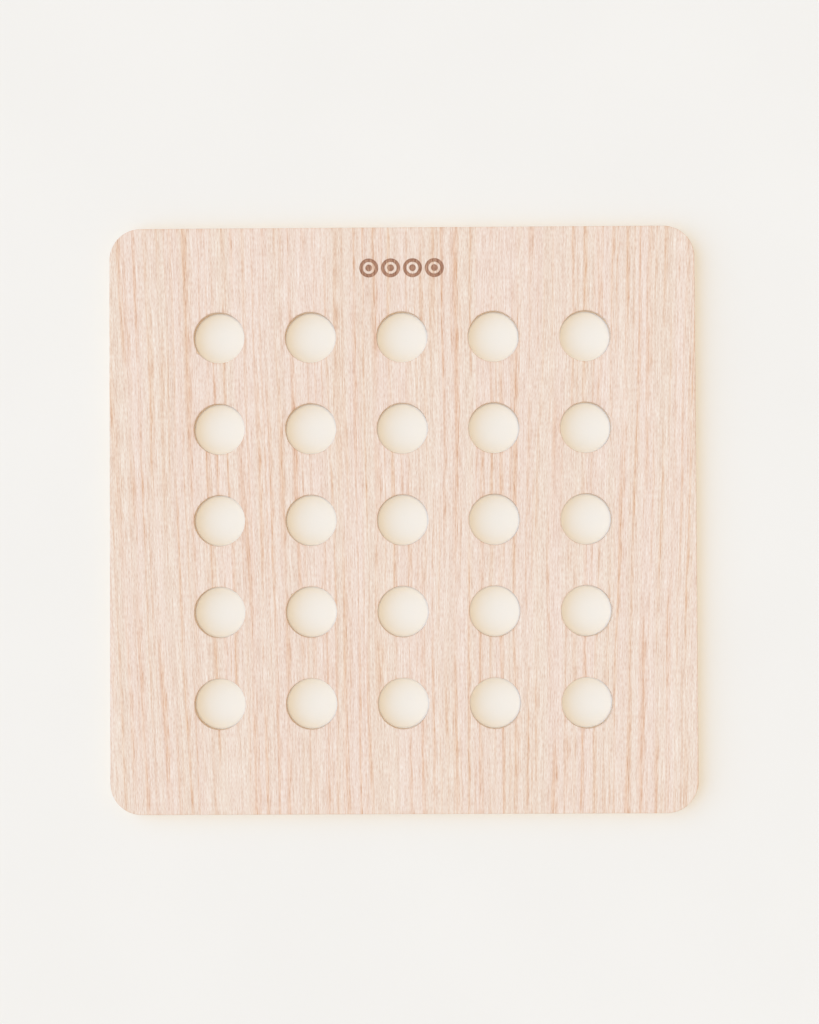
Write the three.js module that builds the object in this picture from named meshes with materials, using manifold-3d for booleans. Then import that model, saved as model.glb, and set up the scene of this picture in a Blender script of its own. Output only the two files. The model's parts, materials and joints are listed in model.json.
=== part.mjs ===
// A flat four-in-a-row board: a square, round-cornered plywood board with a 5 x 5 grid of round
// through holes that the playing pieces stand in, and a small engraved ornament above the holes.
//
// The board lies flat on its underside. The origin is the middle of the underside, +Z points up
// through the board, and the ornament is on the +Y side. All dimensions are in millimetres.
//
// The board is seven veneers glued face to face, and each one is a mesh of its own: an oak face
// and an oak back, with five birch plies between them whose grain runs across, along, across,
// along and across the oak's.

import * as THREE from "three";
import { mergeVertices } from "three/addons/utils/BufferGeometryUtils.js";
import Module from "manifold-3d";

// Driving dimensions. The veneer thicknesses are sums of powers of two, so that every glued
// plane falls on an exact 32-bit number.
const HOLES_PER_SIDE = 5;
const HOLE_PITCH = 45;
const HOLE_DIAMETER = 25;
const EDGE_MARGIN = 54; // from the board's edge to the nearest row of hole centres
const CORNER_RADIUS = 15.5;
const OAK_THICKNESS = 0.625;
const BIRCH_THICKNESS = 1.25;

// The engraved ornament: four counters in a row, each a ring with a dot in the middle.
const COUNTERS = 4;
const COUNTER_PITCH = 10.75;
const COUNTER_RADIUS = 4.5;
const COUNTER_BAND = 1.4;
const COUNTER_DOT_RADIUS = 1.5;
const ORNAMENT_FROM_EDGE = 20; // from the board's +Y edge to the counters' centres
const ENGRAVING_DEPTH = 0.25;

const BOARD_SIDE = (HOLES_PER_SIDE - 1) * HOLE_PITCH + 2 * EDGE_MARGIN;

// How many straight steps stand for each arc.
const HOLE_STEPS = 20;
const CORNER_STEPS = 6;
const RING_STEPS = 24;
const DOT_STEPS = 14;

const OAK = new THREE.MeshStandardMaterial({ color: 0xeed9c9, roughness: 0.62, metalness: 0 });
const OAK_BACK = new THREE.MeshStandardMaterial({ color: 0xe6cfbb, roughness: 0.66, metalness: 0 });
const BIRCH_ALONG = new THREE.MeshStandardMaterial({ color: 0xead2ab, roughness: 0.7, metalness: 0 });
const BIRCH_ACROSS = new THREE.MeshStandardMaterial({ color: 0xc79f72, roughness: 0.78, metalness: 0 });

// The layers from the underside up. Grain along means along Y, as in the oak.
const LAYERS = [
  { name: "back_veneer", thickness: OAK_THICKNESS, material: OAK_BACK },
  { name: "lower_crossband", thickness: BIRCH_THICKNESS, material: BIRCH_ACROSS },
  { name: "lower_long_ply", thickness: BIRCH_THICKNESS, material: BIRCH_ALONG },
  { name: "centre_crossband", thickness: BIRCH_THICKNESS, material: BIRCH_ACROSS },
  { name: "upper_long_ply", thickness: BIRCH_THICKNESS, material: BIRCH_ALONG },
  { name: "upper_crossband", thickness: BIRCH_THICKNESS, material: BIRCH_ACROSS },
  { name: "face_veneer", thickness: OAK_THICKNESS, material: OAK, engraved: true },
];

const wasm = await Module();
wasm.setup();

// Points on an arc, from one angle up to but not including the other, counter-clockwise.
function arcPoints(x, y, radius, from, to, steps) {
  return Array.from({ length: steps }, (_, i) => {
    const angle = from + ((to - from) * i) / steps;
    return new THREE.Vector2(x + radius * Math.cos(angle), y + radius * Math.sin(angle));
  });
}

function circlePoints(x, y, radius, steps) {
  return arcPoints(x, y, radius, 0, 2 * Math.PI, steps);
}

// The board's outline: a square whose corners are quarter circles.
function boardOutline() {
  const reach = BOARD_SIDE / 2 - CORNER_RADIUS;
  const corners = [[reach, reach], [-reach, reach], [-reach, -reach], [reach, -reach]];
  return corners.flatMap(([x, y], i) => {
    const from = (i * Math.PI) / 2;
    const arc = arcPoints(x, y, CORNER_RADIUS, from, from + Math.PI / 2, CORNER_STEPS);
    const end = from + Math.PI / 2;
    arc.push(new THREE.Vector2(x + CORNER_RADIUS * Math.cos(end), y + CORNER_RADIUS * Math.sin(end)));
    return arc;
  });
}

// The centres of n features in a row with the given pitch, either side of 0.
function rowOf(n, pitch) {
  return Array.from({ length: n }, (_, i) => (i - (n - 1) / 2) * pitch);
}

// One veneer: the board's outline with the grid of holes, lying on z = 0.
function veneerGeometry(thickness) {
  const shape = new THREE.Shape(boardOutline());
  for (const x of rowOf(HOLES_PER_SIDE, HOLE_PITCH))
    for (const y of rowOf(HOLES_PER_SIDE, HOLE_PITCH))
      shape.holes.push(new THREE.Path(circlePoints(x, y, HOLE_DIAMETER / 2, HOLE_STEPS)));
  return new THREE.ExtrudeGeometry(shape, { depth: thickness, bevelEnabled: false });
}

// A closed geometry as a solid that can be cut.
function solidOf(geometry) {
  const bare = geometry.clone();
  bare.deleteAttribute("normal");
  bare.deleteAttribute("uv");
  const merged = mergeVertices(bare, 1e-4);
  return new wasm.Manifold(
    new wasm.Mesh({
      numProp: 3,
      vertProperties: merged.attributes.position.array,
      triVerts: new Uint32Array(merged.index.array),
    }),
  );
}

function geometryOf(solid) {
  const mesh = solid.getMesh();
  const geometry = new THREE.BufferGeometry();
  geometry.setAttribute("position", new THREE.BufferAttribute(new Float32Array(mesh.vertProperties), 3));
  geometry.setIndex(new THREE.BufferAttribute(new Uint32Array(mesh.triVerts), 1));
  geometry.computeVertexNormals();
  return geometry;
}

// The solids that the engraving takes out of a veneer of the given thickness: a ring and a dot
// for each counter, reaching past the veneer's upper face.
function engravingSolids(thickness) {
  const y = BOARD_SIDE / 2 - ORNAMENT_FROM_EDGE;
  const settings = { depth: 2 * ENGRAVING_DEPTH, bevelEnabled: false };
  return rowOf(COUNTERS, COUNTER_PITCH).flatMap((x) => {
    const ring = new THREE.Shape(circlePoints(x, y, COUNTER_RADIUS, RING_STEPS));
    ring.holes.push(new THREE.Path(circlePoints(x, y, COUNTER_RADIUS - COUNTER_BAND, RING_STEPS)));
    const dot = new THREE.Shape(circlePoints(x, y, COUNTER_DOT_RADIUS, DOT_STEPS));
    return [ring, dot].map((shape) => {
      const geometry = new THREE.ExtrudeGeometry(shape, settings);
      return solidOf(geometry.translate(0, 0, thickness - ENGRAVING_DEPTH));
    });
  });
}

function engravedVeneerGeometry(thickness) {
  const engraved = engravingSolids(thickness).reduce(
    (veneer, groove) => veneer.subtract(groove),
    solidOf(veneerGeometry(thickness)),
  );
  return geometryOf(engraved);
}

const board = new THREE.Group();
board.name = "four_in_a_row_board";
let height = 0;
for (const { name, thickness, material, engraved } of LAYERS) {
  const geometry = engraved ? engravedVeneerGeometry(thickness) : veneerGeometry(thickness);
  const mesh = new THREE.Mesh(geometry, material);
  mesh.name = name;
  mesh.position.z = height;
  board.add(mesh);
  height += thickness;
}

export default board;
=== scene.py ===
"""The looks of a flat four-in-a-row board: seven glued veneers with a square grid of round holes.

Each packed veneer is replaced by a finer mesh of the same size, with smooth holes and corners, eased
arrises, a torn fibre here and there and an engraved ornament, and gets a wood material. Lengths in the
mesh code are millimetres, and become metres when a mesh is made.
"""

import json
import math

import bpy
import numpy as np
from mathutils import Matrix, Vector
from mathutils.geometry import delaunay_2d_cdt


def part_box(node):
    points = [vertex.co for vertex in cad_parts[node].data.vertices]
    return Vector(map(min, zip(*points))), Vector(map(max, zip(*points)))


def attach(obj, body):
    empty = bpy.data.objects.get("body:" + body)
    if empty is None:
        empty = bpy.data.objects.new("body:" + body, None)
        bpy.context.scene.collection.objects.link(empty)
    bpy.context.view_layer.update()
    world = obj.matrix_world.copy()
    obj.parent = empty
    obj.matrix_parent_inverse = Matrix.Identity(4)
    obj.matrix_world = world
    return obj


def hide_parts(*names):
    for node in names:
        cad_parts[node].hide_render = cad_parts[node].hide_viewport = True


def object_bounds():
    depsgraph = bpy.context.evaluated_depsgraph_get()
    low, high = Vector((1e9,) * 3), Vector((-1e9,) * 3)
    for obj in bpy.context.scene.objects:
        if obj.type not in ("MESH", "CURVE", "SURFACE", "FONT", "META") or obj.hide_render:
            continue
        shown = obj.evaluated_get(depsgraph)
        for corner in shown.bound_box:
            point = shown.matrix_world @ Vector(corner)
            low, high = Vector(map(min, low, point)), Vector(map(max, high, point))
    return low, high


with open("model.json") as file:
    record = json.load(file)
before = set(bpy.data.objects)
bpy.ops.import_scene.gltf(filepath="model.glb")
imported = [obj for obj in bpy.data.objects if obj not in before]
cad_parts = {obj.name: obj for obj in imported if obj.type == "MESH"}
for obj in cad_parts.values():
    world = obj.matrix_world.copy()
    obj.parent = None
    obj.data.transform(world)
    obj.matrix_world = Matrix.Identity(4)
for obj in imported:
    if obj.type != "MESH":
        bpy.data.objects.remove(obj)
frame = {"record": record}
cad_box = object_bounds()

MM = 0.001
SEED = 4

# ---------------------------------------------------------------------------------------------
# Sizes, in millimetres
# ---------------------------------------------------------------------------------------------

BOARD_HALF = cad_box[1].x / MM
CORNER_RADIUS = 15.5
CORNER_STEPS = 24
EDGE_STEP = 2.5
EDGE_UNEVENNESS = 0.03
EDGE_WAVES = 40
HOLE_RADIUS = 12.5
HOLE_STEPS = 144

# Each hole's middle, from the space that the record keeps clear in it.
HOLE_CENTRES = [
    (np.array(o["box_m"][0][:2]) + np.array(o["box_m"][1][:2])) / 2 / MM
    for o in frame["record"]["physics"]["openings"]
]

OAK_EASING = 0.32  # radius of the sanded arris round the board and the holes
EASING_STEPS = 5
# The flat stretch beside an arris: inset, drop, share of the raggedness and wear.
BESIDE_ARRIS = [(2.4, 0, 0, 0), (1.3, 0, 0.25, 0), (0.75, 0, 0.6, 0.35)]

PLY_EASING = 0.05
PLY_UNEVENNESS = 0.02
PLY_WAVES = 12
GLUE_LINE = 0.13

# The birch plies: the node, the axis of its grain, its material slot, and how far its edge lies back.
PLIES = [
    ("lower_crossband", "x", "birch_across", 0.02),
    ("lower_long_ply", "y", "birch_along", 0.005),
    ("centre_crossband", "x", "birch_across", 0.03),
    ("upper_long_ply", "y", "birch_along", 0.0),
    ("upper_crossband", "x", "birch_across", 0.02),
]

# Torn fibres at the holes' rims: hole row and column from the engraved corner, direction in degrees
# anticlockwise from +X, width and depth.
CHIPS = [
    (0, 0, 215, 3.0, 0.85),
    (0, 3, 128, 2.2, 0.45),
    (0, 4, 38, 2.4, 0.55),
    (1, 1, 302, 1.6, 0.35),
    (2, 2, 40, 2.0, 0.4),
    (3, 1, 138, 2.2, 0.8),
    (3, 4, 250, 1.4, 0.35),
    (4, 2, 75, 1.5, 0.3),
]
FIBRE_TEAR = 0.09  # how ragged the rim is where it crosses the grain
FIBRE_WIDTH = 0.5

# The engraved ornament: four counters in a row, each a ring with a dot in the middle.
COUNTERS = 4
COUNTER_PITCH = 10.75
COUNTER_OUTER = 4.5
COUNTER_INNER = 3.1
COUNTER_DOT = 1.5
ORNAMENT_FROM_EDGE = 20
COUNTER_CENTRES = [
    ((i - (COUNTERS - 1) / 2) * COUNTER_PITCH, BOARD_HALF - ORNAMENT_FROM_EDGE) for i in range(COUNTERS)
]
ENGRAVING_DEPTH = 0.25
ENGRAVING_STEPS = 72
ENGRAVING_ROUGHNESS = 0.02
SCORCH_REACH = 0.35  # how far the browning reaches past the engraving's lip

FACE_GRID = 5.0
HIDDEN_GRID = 9.0
ENGRAVING_GRID = 0.55
SHARP_ANGLE = 38  # degrees between faces, from which an edge looks sharp

FLOOR_HALF = 12000
FLOOR_GRID = 1000
FLOOR_LAP = 1.0  # how far the floor reaches under the wood, from its edges
FLOOR_GAP = 0.02  # between the floor and the underside

# The camera looks down on the board from a little over a metre, as square to it as hand and eye go.
CAMERA_LENS = 85
CAMERA_PLACE = (0.0183, -0.0246, 1.1932)
CAMERA_TURN = (1.37, 0.73, -0.28)  # degrees about X, Y and Z, from looking straight down


# ---------------------------------------------------------------------------------------------
# Meshes
# ---------------------------------------------------------------------------------------------

random = np.random.default_rng(SEED)


class Contour:
    """A closed line of points, with at each the unit direction out of the wood and how ragged it is.
    The wood is on the left of the line."""

    def __init__(self, points, out, ragged=None):
        self.points = np.array(points, float)
        self.out = np.array(out, float)
        self.ragged = np.zeros(len(self.points)) if ragged is None else ragged


class Solid:
    """The points and faces of one mesh, with how worn and how scorched it is at each point."""

    def __init__(self):
        self.points, self.wear, self.scorch, self.faces = [], [], [], []

    def add(self, flat, z, wear=0.0, scorch=0.0):
        """Adds points at a height, or a height each, and returns their numbers."""
        first = len(self.points)
        heights = np.broadcast_to(z, len(flat))
        self.points += [(x, y, h) for (x, y), h in zip(flat, heights)]
        self.wear += [wear] * len(flat)
        self.scorch += [scorch] * len(flat)
        return np.arange(first, len(self.points))

    def flat(self, ring):
        return [self.points[i][:2] for i in ring]

    def wall(self, contour, profile):
        """Walls down a contour, and the rings at the profile's two ends. A profile's row is the inset
        into the wood, the height, the share of the raggedness, the wear and the scorch."""
        rings = []
        for inset, z, share, wear, scorch in profile:
            back = (inset + share * contour.ragged)[:, None]
            rings.append(self.add(contour.points - contour.out * back, z, wear, scorch))
        for upper, lower in zip(rings, rings[1:]):
            upper_next, lower_next = np.roll(upper, -1), np.roll(lower, -1)
            self.faces += np.stack([upper, lower, lower_next, upper_next], 1).tolist()
        return rings[0], rings[-1]

    def fill(self, rings, z, grid, down=False, scorch=0.0, rough=0.0):
        """Triangles over the stretch that the rings enclose, through a grid of points at height z."""
        loops = [np.array(self.flat(ring)) for ring in rings]
        line = np.concatenate(loops)
        low, high = line.min(0), line.max(0)
        rows = np.arange(low[1] + grid / 2, high[1], grid * math.sqrt(0.75))
        clear = 0.6 * grid  # how far the grid's points keep from the rings
        spread = [
            (x, y)
            for i, y in enumerate(rows)
            for x in np.arange(low[0] + grid / 2 * (1 + i % 2), high[0], grid)
            if np.hypot(*(line - (x, y)).T).min() > clear
        ]
        regions, first = [], 0
        for loop in loops:
            following = np.roll(loop, -1, 0)
            area = (loop[:, 0] * following[:, 1] - loop[:, 1] * following[:, 0]).sum()
            regions.append(list(range(first, first + len(loop)))[:: 1 if area > 0 else -1])
            first += len(loop)
        flat = [Vector(p) for p in line] + [Vector(p) for p in spread]
        _, _, triangles, sources, _, within = delaunay_2d_cdt(flat, [], regions, 0, 1e-6)
        # What is filled lies inside an odd number of rings: the board's, a hole's, a counter's and so on.
        triangles = np.array([t for t, inside in zip(triangles, within) if len(inside) % 2])
        given = np.array([s[0] for s in sources])[triangles]
        numbers = np.concatenate([*rings, np.full(len(spread), -1)])
        used = np.unique(given[given >= first])
        heights = z + rough * random.uniform(-1, 1, len(used))
        numbers[used] = self.add([flat[i] for i in used], heights, 0.0, scorch)
        self.faces += numbers[given][:, :: -1 if down else 1].tolist()

    def mesh(self, name, material):
        mesh = bpy.data.meshes.new(name)
        mesh.from_pydata((np.array(self.points) * MM).tolist(), [], self.faces)
        mesh.materials.append(material)
        return mesh

    def piece(self, name, node, slot, material):
        """Makes the Blender object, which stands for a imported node."""
        mesh = self.mesh(name, material)
        for label, values in (("wear", self.wear), ("scorch", self.scorch)):
            mesh.attributes.new(label, "FLOAT", "POINT").data.foreach_set("value", values)
        mesh.shade_smooth()
        mesh.set_sharp_from_angle(angle=math.radians(SHARP_ANGLE))
        obj = bpy.data.objects.new(name, mesh)
        bpy.context.scene.collection.objects.link(obj)
        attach(obj, "root")
        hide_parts(node)


def unit(angle):
    return np.array([math.cos(angle), math.sin(angle)])


def soft_noise(count, waves):
    """A smooth closed run of values from 0 to 1."""
    angle = np.arange(count) / count * 2 * math.pi
    total = sum(
        random.normal() / math.sqrt(k) * np.cos(k * angle + random.uniform(0, 2 * math.pi))
        for k in range(1, waves)
    )
    return (total - total.min()) / (total.max() - total.min())


def board_outline():
    """The board's outline, anticlockwise, with the same even step along its straight sides."""
    corner = BOARD_HALF - CORNER_RADIUS
    points, out = [], []
    side_steps = round(2 * corner / EDGE_STEP)
    for quarter in range(4):
        start = quarter * math.pi / 2
        middle = corner * math.sqrt(2) * unit(start + math.pi / 4)
        for i in range(CORNER_STEPS + 1):
            direction = unit(start + i / CORNER_STEPS * math.pi / 2)
            points.append(middle + CORNER_RADIUS * direction)
            out.append(direction)
        along = np.array([-direction[1], direction[0]])
        for i in range(1, side_steps):
            points.append(points[-1] + along * 2 * corner / side_steps)
            out.append(direction)
    return Contour(points, out, EDGE_UNEVENNESS * soft_noise(len(points), EDGE_WAVES))


def circle(centre, radius, steps, inward):
    """A circle, clockwise and facing its middle if inward, as a hole does, or the other way round."""
    angles = np.arange(steps) / steps * 2 * math.pi * (-1 if inward else 1)
    direction = np.stack([np.cos(angles), np.sin(angles)], 1)
    return Contour(np.array(centre) + radius * direction, -direction if inward else direction)


def fibre_breaks(contour):
    """How far each fibre is broken back at a rim: most where the rim runs across the grain, along X."""
    columns = np.floor(contour.points[:, 0] / FIBRE_WIDTH).astype(int)
    broken = {column: random.uniform() ** 2 for column in sorted(set(columns))}
    return FIBRE_TEAR * np.array([broken[c] for c in columns]) * np.abs(contour.out[:, 1])


def torn_holes():
    """The holes of an oak veneer, with broken fibres and chips round them."""
    holes = [circle(centre, HOLE_RADIUS, HOLE_STEPS, inward=True) for centre in HOLE_CENTRES]
    for hole in holes:
        hole.ragged = fibre_breaks(hole)
    side = round(math.sqrt(len(holes)))
    for row, column, degrees, width, depth in CHIPS:
        number = row * side + column
        hole = holes[number]
        direction = unit(math.radians(degrees))
        across = (hole.points - HOLE_CENTRES[number]) @ np.array([-direction[1], direction[0]])
        facing = hole.out @ direction < 0
        dip = np.clip(1 - np.abs(across / (width / 2)) ** 1.5, 0, 1) * facing
        hole.ragged += depth * dip * random.uniform(0.75, 1.0, len(dip))
    return holes


def engrave(solid, top):
    """Cuts the counters into the face, and returns the rings where the flat face meets them."""
    floor = top - ENGRAVING_DEPTH
    profile = [
        (SCORCH_REACH, top, 0, 0, 0),
        (0.05, top, 0, 0, 0.9),
        (0, top - 0.05, 0, 0, 1),
        (-0.06, floor, 0, 0, 1),
    ]
    lips = []
    for centre in COUNTER_CENTRES:
        feet = []
        for radius, inward in ((COUNTER_OUTER, True), (COUNTER_INNER, False), (COUNTER_DOT, True)):
            lip, foot = solid.wall(circle(centre, radius, ENGRAVING_STEPS, inward), profile)
            lips.append(lip)
            feet.append(foot)
        solid.fill(feet, floor, ENGRAVING_GRID, scorch=1, rough=ENGRAVING_ROUGHNESS)
    return lips


def oak_profile(top, bottom, ease_top):
    """The profile of an oak veneer's edge, from the top down, with its outer arris rounded."""
    rows = list(BESIDE_ARRIS)
    for i in range(EASING_STEPS + 1):
        angle = i / EASING_STEPS * math.pi / 2
        rows.append((OAK_EASING * (1 - math.sin(angle)), OAK_EASING * (1 - math.cos(angle)), 1, 1))
    rows.append((0, top - bottom, 0.5, 0.3))
    if ease_top:
        return [(inset, top - drop, share, wear, 0) for inset, drop, share, wear in rows]
    return [(inset, bottom + drop, share, wear, 0) for inset, drop, share, wear in reversed(rows)]


def ply_profile(top, bottom, recess):
    """The profile of a birch ply's edge: sharp, with the glue lines' darkness as its wear."""
    inset = recess + PLY_EASING
    return [
        (inset, top, 1, 1, 0),
        (recess, top - PLY_EASING, 1, 1, 0),
        (recess, top - GLUE_LINE, 1, 0, 0),
        (recess, bottom + GLUE_LINE, 1, 0, 0),
        (recess, bottom + PLY_EASING, 1, 1, 0),
        (inset, bottom, 1, 1, 0),
    ]


def veneer(profile, holes, top_grid, bottom_grid, engraved=False):
    """One veneer, from the profile of its edges."""
    solid = Solid()
    rings = [solid.wall(contour, profile) for contour in [board_outline(), *holes]]
    tops, bottoms = [list(ends) for ends in zip(*rings)]
    top, bottom = profile[0][1], profile[-1][1]
    if engraved:
        tops += engrave(solid, top)
    solid.fill(tops, top, top_grid)
    solid.fill(bottoms, bottom, bottom_grid, down=True)
    return solid


# ---------------------------------------------------------------------------------------------
# Materials
# ---------------------------------------------------------------------------------------------

WOOD_IOR = 1.45

# The oak's fibres draw together slightly towards -Y, about a line right of the middle, and wander.
SPREAD_ABOUT_X = 25.0  # millimetres
SPREAD_PER_MM = 2.8e-4
WANDER = 5.0  # millimetres

# Growth rings, edge on: two sets of streaks, each with its pitch in millimetres and its strength.
RING_SETS = [(6.1, 1.0), (3.7, 0.6)]

# Colours of the wood from its darkest fibres to its lightest.
OAK_FACE_TONES = [(0.68, 0.51, 0.40), (0.78, 0.66, 0.56), (0.845, 0.78, 0.70)]
OAK_BACK_TONES = [(0.58, 0.42, 0.31), (0.71, 0.56, 0.45), (0.80, 0.67, 0.56)]
BURNT_TONES = [(0.21, 0.085, 0.042), (0.34, 0.16, 0.092), (0.50, 0.29, 0.19)]
BIRCH_SIDE_TONES = [(0.88, 0.67, 0.46), (0.93, 0.75, 0.54), (0.95, 0.81, 0.64)]
BIRCH_END_TONES = [(0.76, 0.53, 0.34), (0.86, 0.64, 0.44), (0.91, 0.72, 0.52)]
GLUE = (0.50, 0.34, 0.20, 1)

# Tints that the wood's colour is multiplied by.
BLUSH_TINT = (1.0, 0.94, 1.0, 1)
STREAK_TINT = (0.925, 0.745, 0.595, 1)
PORE_TINT = (0.78, 0.60, 0.50, 1)
VESSEL_TINT = (0.72, 0.55, 0.45, 1)
WORN_TINT = (0.93, 0.76, 0.61, 1)
BIRCH_VESSEL_TINT = (0.55, 0.40, 0.28, 1)

PAPER_DARK = (0.81, 0.80, 0.775, 1)
PAPER_LIGHT = (0.82, 0.81, 0.785, 1)


class Graph:
    """A material's nodes, built by calls that each return an output socket."""

    def __init__(self, name):
        self.material = bpy.data.materials.new(name)
        self.material.use_nodes = True
        self.tree = self.material.node_tree
        self.shader = self.tree.nodes["Principled BSDF"]

    def node(self, kind, inputs, output=0, **settings):
        made = self.tree.nodes.new("ShaderNode" + kind)
        for key, value in settings.items():
            setattr(made, key, value)
        for key, value in inputs.items():
            self.feed(made.inputs[key], value)
        return made.outputs[output]

    def feed(self, socket, value):
        if isinstance(value, bpy.types.NodeSocket):
            self.tree.links.new(value, socket)
        else:
            socket.default_value = value

    def place(self, shift=(0, 0, 0)):
        """The place on the object in millimetres, shifted."""
        metres = self.node("TexCoord", {}, output="Object")
        return self.node("VectorMath", {0: self.scaled(metres, (1 / MM,) * 3), 1: shift}, operation="ADD")

    def attribute(self, name):
        return self.node("Attribute", {}, output="Fac", attribute_name=name)

    def math(self, operation, a, b=0.0):
        return self.node("Math", {0: a, 1: b}, operation=operation)

    def scaled(self, vector, factors):
        return self.node("VectorMath", {0: vector, 1: factors}, operation="MULTIPLY")

    def noise(self, vector, factors, detail=2.0, roughness=0.5):
        inputs = {"Vector": self.scaled(vector, factors), "Scale": 1.0, "Detail": detail}
        return self.node("TexNoise", inputs | {"Roughness": roughness})

    def span(self, value, low, high, to_low=0.0, to_high=1.0):
        """Eases a value from low to high into 0 to 1, or into another range."""
        inputs = {"Value": value, "From Min": low, "From Max": high, "To Min": to_low, "To Max": to_high}
        return self.node("MapRange", inputs, interpolation_type="SMOOTHSTEP")

    def blend(self, parts, offset=0.5):
        """Noises added up by their weights, about an offset."""
        total = offset
        for part, weight in parts:
            total = self.math("ADD", total, self.math("MULTIPLY", self.math("SUBTRACT", part, 0.5), weight))
        return total

    def mix(self, factor, a, b, blend="MIX"):
        """A mix of two colours, whose node has its factor, colours and result at these numbers."""
        return self.node("Mix", {0: factor, 6: a, 7: b}, output=2, data_type="RGBA", blend_type=blend)

    def tones(self, value, colours):
        """Three colours along a value from 0 to 1."""
        out = self.node("ValToRGB", {"Fac": value})
        elements = out.node.color_ramp.elements
        elements.new(0.5)
        for element, place, colour in zip(elements, (0.0, 0.5, 1.0), colours):
            element.position, element.color = place, (*colour, 1)
        return out

    def finish(self, colour, roughness, bumps):
        """Wires the shader. Bumps are (height, distance in metres, strength), coarsest first."""
        normal = None
        for height, distance, strength in bumps:
            inputs = {"Height": height, "Distance": distance, "Strength": strength}
            if normal is not None:
                inputs["Normal"] = normal
            normal = self.node("Bump", inputs)
        self.feed(self.shader.inputs["Base Color"], colour)
        self.feed(self.shader.inputs["Roughness"], roughness)
        self.feed(self.shader.inputs["Normal"], normal)
        self.shader.inputs["IOR"].default_value = WOOD_IOR
        return self.material


def oak_streaks(g, grain, x, fibres):
    """Where the growth rings' streaks of open pores are, some strong and some faint."""
    drift = g.blend([(g.noise(grain, (0.07, 0.002, 0.07), detail=3), 2.4), (fibres, 0.35)])
    streak = 0.0
    for pitch, weight in RING_SETS:
        ring = g.math("FRACT", g.math("ADD", g.math("DIVIDE", x, pitch), drift))
        line = g.math("MULTIPLY", g.span(ring, 0, 0.1), g.span(ring, 0.15, 0.45, 1, 0))
        strength = g.noise(grain, (0.6 / pitch, 0.012, 0.6 / pitch), detail=1)
        strength = g.span(strength, 0.36, 0.64, 0, weight)
        streak = g.math("MAXIMUM", streak, g.math("MULTIPLY", line, strength))
    return g.math("MULTIPLY", streak, g.span(fibres, 0.3, 0.6, 1, 0.55))


def oak(name, tones, shift):
    """Straight-grained oak veneer, its grain along Y, browned where the mesh is scorched."""
    g = Graph(name)
    at = g.place(shift)
    x, y, z = (g.node("SeparateXYZ", {0: at}, output=axis) for axis in "XYZ")
    spread = g.math("ADD", g.math("MULTIPLY", y, SPREAD_PER_MM), 1.0)
    wander = g.noise(at, (0.025, 0.007, 0.025), detail=2)
    x = g.math("DIVIDE", g.math("SUBTRACT", x, SPREAD_ABOUT_X), spread)
    x = g.math("ADD", x, g.math("MULTIPLY", wander, WANDER))
    grain = g.node("CombineXYZ", {0: x, 1: y, 2: z})

    lines = g.noise(grain, (1.0, 0.01, 1.0), detail=1)
    fibres = g.noise(grain, (2.4, 0.085, 2.4), detail=1)
    specks = g.noise(grain, (2.8, 0.5, 2.8), detail=0)
    bands = g.noise(grain, (0.12, 0.003, 0.12), detail=2)
    tone = g.blend([(lines, 0.65), (fibres, 1.3), (specks, 0.9), (bands, 0.25)])

    streak = oak_streaks(g, grain, x, fibres)
    pores = g.noise(grain, (2.2, 0.14, 2.2), detail=1)
    pore = g.math("MULTIPLY", g.span(pores, 0.56, 0.68), g.span(streak, 0, 1, 0.15, 1))
    vessels = g.span(g.noise(grain, (5.5, 0.2, 5.5), detail=1), 0.58, 0.66)
    vessel = g.math("MULTIPLY", vessels, g.span(streak, 0, 1, 0.3, 1))
    blush = g.span(g.noise(grain, (0.12, 0.004, 0.12), detail=2), 0.35, 0.65, 0.12, 0.5)
    rubbed = g.span(g.noise(at, (0.4, 0.4, 0.4)), 0.3, 0.7, 0.0, 0.3)
    worn = g.math("MULTIPLY", g.attribute("wear"), rubbed)

    colour = g.tones(tone, tones)
    for amount, tint in (
        (blush, BLUSH_TINT),
        (streak, STREAK_TINT),
        (g.math("MULTIPLY", pore, 0.5), PORE_TINT),
        (g.math("MULTIPLY", vessel, 0.5), VESSEL_TINT),
        (worn, WORN_TINT),
    ):
        colour = g.mix(amount, colour, tint, "MULTIPLY")
    colour = g.mix(g.math("MULTIPLY", g.attribute("scorch"), 0.94), colour, g.tones(tone, BURNT_TONES))

    roughness = g.span(tone, 0, 1, 0.74, 0.58)
    relief = g.math("SUBTRACT", g.math("SUBTRACT", tone, pore), vessel)
    return g.finish(colour, roughness, [(bands, 0.2 * MM, 0.3), (relief, 0.04 * MM, 0.6)])


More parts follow.
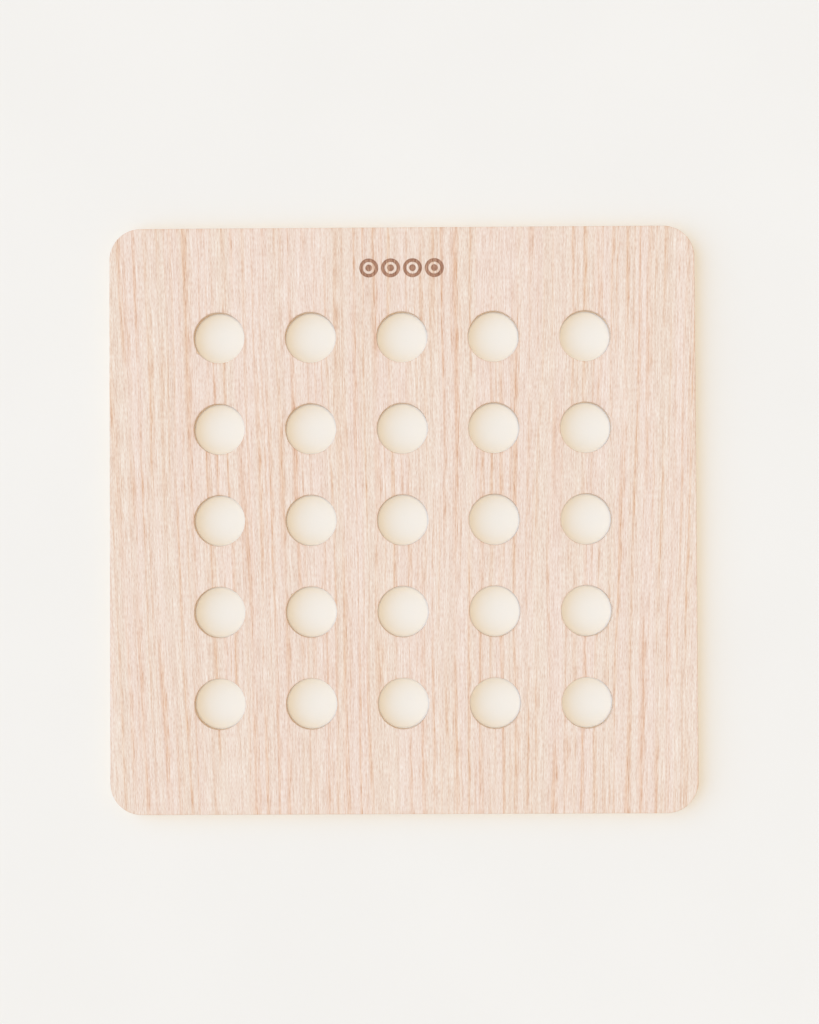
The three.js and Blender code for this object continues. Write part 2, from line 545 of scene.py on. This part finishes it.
def birch(name, along_x, shift):
    """A birch ply, seen at the cut edges: pale and streaked along its grain, brown and dotted on its ends."""
    g = Graph(name)
    at = g.place(shift)
    long, short = 0.05, 2.2
    grain = (long, short, short) if along_x else (short, long, short)
    fibres = g.noise(at, grain, detail=3, roughness=0.6)
    clouds = g.noise(at, (0.08, 0.08, 0.3), detail=2)
    vessels = g.span(g.noise(at, tuple(2 * f for f in grain), detail=1), 0.56, 0.68)

    normal = g.node("TexCoord", {}, output="Normal")
    facing = g.node("SeparateXYZ", {0: normal}, output="X" if along_x else "Y")
    end_grain = g.span(g.math("ABSOLUTE", facing), 0.35, 0.95)
    tone = g.math("ADD", g.math("MULTIPLY", fibres, 0.7), g.math("MULTIPLY", clouds, 0.3))
    tone = g.span(tone, 0.3, 0.7)
    colour = g.mix(end_grain, g.tones(tone, BIRCH_SIDE_TONES), g.tones(tone, BIRCH_END_TONES))
    colour = g.mix(g.math("MULTIPLY", vessels, 0.5), colour, BIRCH_VESSEL_TINT, "MULTIPLY")
    patchy = g.span(g.noise(at, (0.7, 0.7, 0.7)), 0.3, 0.7, 0.12, 0.45)
    colour = g.mix(g.math("MULTIPLY", g.attribute("wear"), patchy), colour, GLUE)

    roughness = g.span(tone, 0, 1, 0.85, 0.68)
    relief = g.math("SUBTRACT", tone, vessels)
    return g.finish(colour, roughness, [(clouds, 0.2 * MM, 0.3), (relief, 0.06 * MM, 0.7)])


def paper():
    """The pale paper the board lies on."""
    g = Graph("paper")
    at = g.place()
    tooth = g.noise(at, (1.5, 1.5, 1.5), detail=3)
    colour = g.mix(g.span(g.noise(at, (0.01, 0.01, 0.01)), 0.3, 0.7), PAPER_DARK, PAPER_LIGHT)
    return g.finish(colour, g.span(tooth, 0.3, 0.7, 0.85, 0.95), [(tooth, 0.03 * MM, 0.4)])


# ---------------------------------------------------------------------------------------------
# The board
# ---------------------------------------------------------------------------------------------

def faces_of(node):
    """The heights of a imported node's top and bottom."""
    low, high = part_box(node)
    return high.z / MM, low.z / MM


def add_face():
    profile = oak_profile(*faces_of("face_veneer"), ease_top=True)
    solid = veneer(profile, torn_holes(), FACE_GRID, HIDDEN_GRID, engraved=True)
    material = oak("oak_face", OAK_FACE_TONES, (0, 0, 0))
    solid.piece("oak_face_veneer", "face_veneer", "oak_face", material)


def add_back():
    profile = oak_profile(*faces_of("back_veneer"), ease_top=False)
    solid = veneer(profile, torn_holes(), HIDDEN_GRID, FACE_GRID)
    material = oak("oak_back", OAK_BACK_TONES, (310, 95, 40))
    solid.piece("oak_back_veneer", "back_veneer", "oak_back", material)


def add_plies():
    materials = {axis: birch(f"birch_grain_{axis}", axis == "x", (7, 3, 5)) for axis in "xy"}
    for node, axis, slot, recess in PLIES:
        holes = [circle(centre, HOLE_RADIUS, HOLE_STEPS, inward=True) for centre in HOLE_CENTRES]
        for hole in holes:
            hole.ragged = PLY_UNEVENNESS * soft_noise(HOLE_STEPS, PLY_WAVES)
        profile = ply_profile(*faces_of(node), recess)
        solid = veneer(profile, holes, HIDDEN_GRID, HIDDEN_GRID)
        solid.piece("birch_" + node, node, slot, materials[axis])


# ---------------------------------------------------------------------------------------------
# Floor, light and camera
# ---------------------------------------------------------------------------------------------

def add_floor():
    """The paper, which is cut away under the wood so that the underside is seen from below."""
    z = cad_box[0].z / MM - FLOOR_GAP
    sheet = Solid()
    corners = [(x * FLOOR_HALF, y * FLOOR_HALF) for x, y in ((-1, -1), (1, -1), (1, 1), (-1, 1))]
    outline = board_outline()
    rings = [sheet.add(corners, z), sheet.add(outline.points - FLOOR_LAP * outline.out, z)]
    for centre in HOLE_CENTRES:
        disc = circle(centre, HOLE_RADIUS + FLOOR_LAP, HOLE_STEPS, inward=True)
        rings.append(sheet.add(disc.points, z))
    sheet.fill(rings, z, FLOOR_GRID)
    floor = bpy.data.objects.new("floor", sheet.mesh("floor", paper()))
    bpy.context.scene.collection.objects.link(floor)


def add_sun(name, azimuth, elevation, spread, strength, colour):
    """A far soft light. Azimuth is degrees anticlockwise from +X, spread its width across the sky."""
    light = bpy.data.lights.new(name, "SUN")
    light.energy, light.color, light.angle = strength, colour, math.radians(spread)
    lamp = bpy.data.objects.new(name, light)
    around, up = math.radians(azimuth), math.radians(elevation)
    towards = Vector((math.cos(around) * math.cos(up), math.sin(around) * math.cos(up), math.sin(up)))
    lamp.rotation_euler = towards.to_track_quat("Z", "Y").to_euler()
    bpy.context.scene.collection.objects.link(lamp)


def add_world(colour, strength):
    """Even light from all round."""
    world = bpy.data.worlds.new("soft_fill")
    world.use_nodes = True
    background = world.node_tree.nodes["Background"]
    background.inputs["Color"].default_value = (*colour, 1)
    background.inputs["Strength"].default_value = strength
    bpy.context.scene.world = world


def add_camera():
    camera = bpy.data.cameras.new("camera")
    camera.lens, camera.sensor_width = CAMERA_LENS, 36
    camera.dof.use_dof = False
    obj = bpy.data.objects.new("camera", camera)
    obj.location = CAMERA_PLACE
    obj.rotation_euler = [math.radians(d) for d in CAMERA_TURN]
    bpy.context.scene.collection.objects.link(obj)
    bpy.context.scene.camera = obj


add_face()
add_back()
add_plies()
add_floor()
add_sun("window", azimuth=178, elevation=38, spread=85, strength=1.7, colour=(0.34, 0.62, 1.0))
add_sun("ceiling", azimuth=60, elevation=89, spread=15, strength=1.41, colour=(1.0, 0.875, 0.6))
add_world(colour=(1.0, 0.92, 0.91), strength=0.55)
add_camera()
bpy.context.scene.view_settings.view_transform = "Standard"
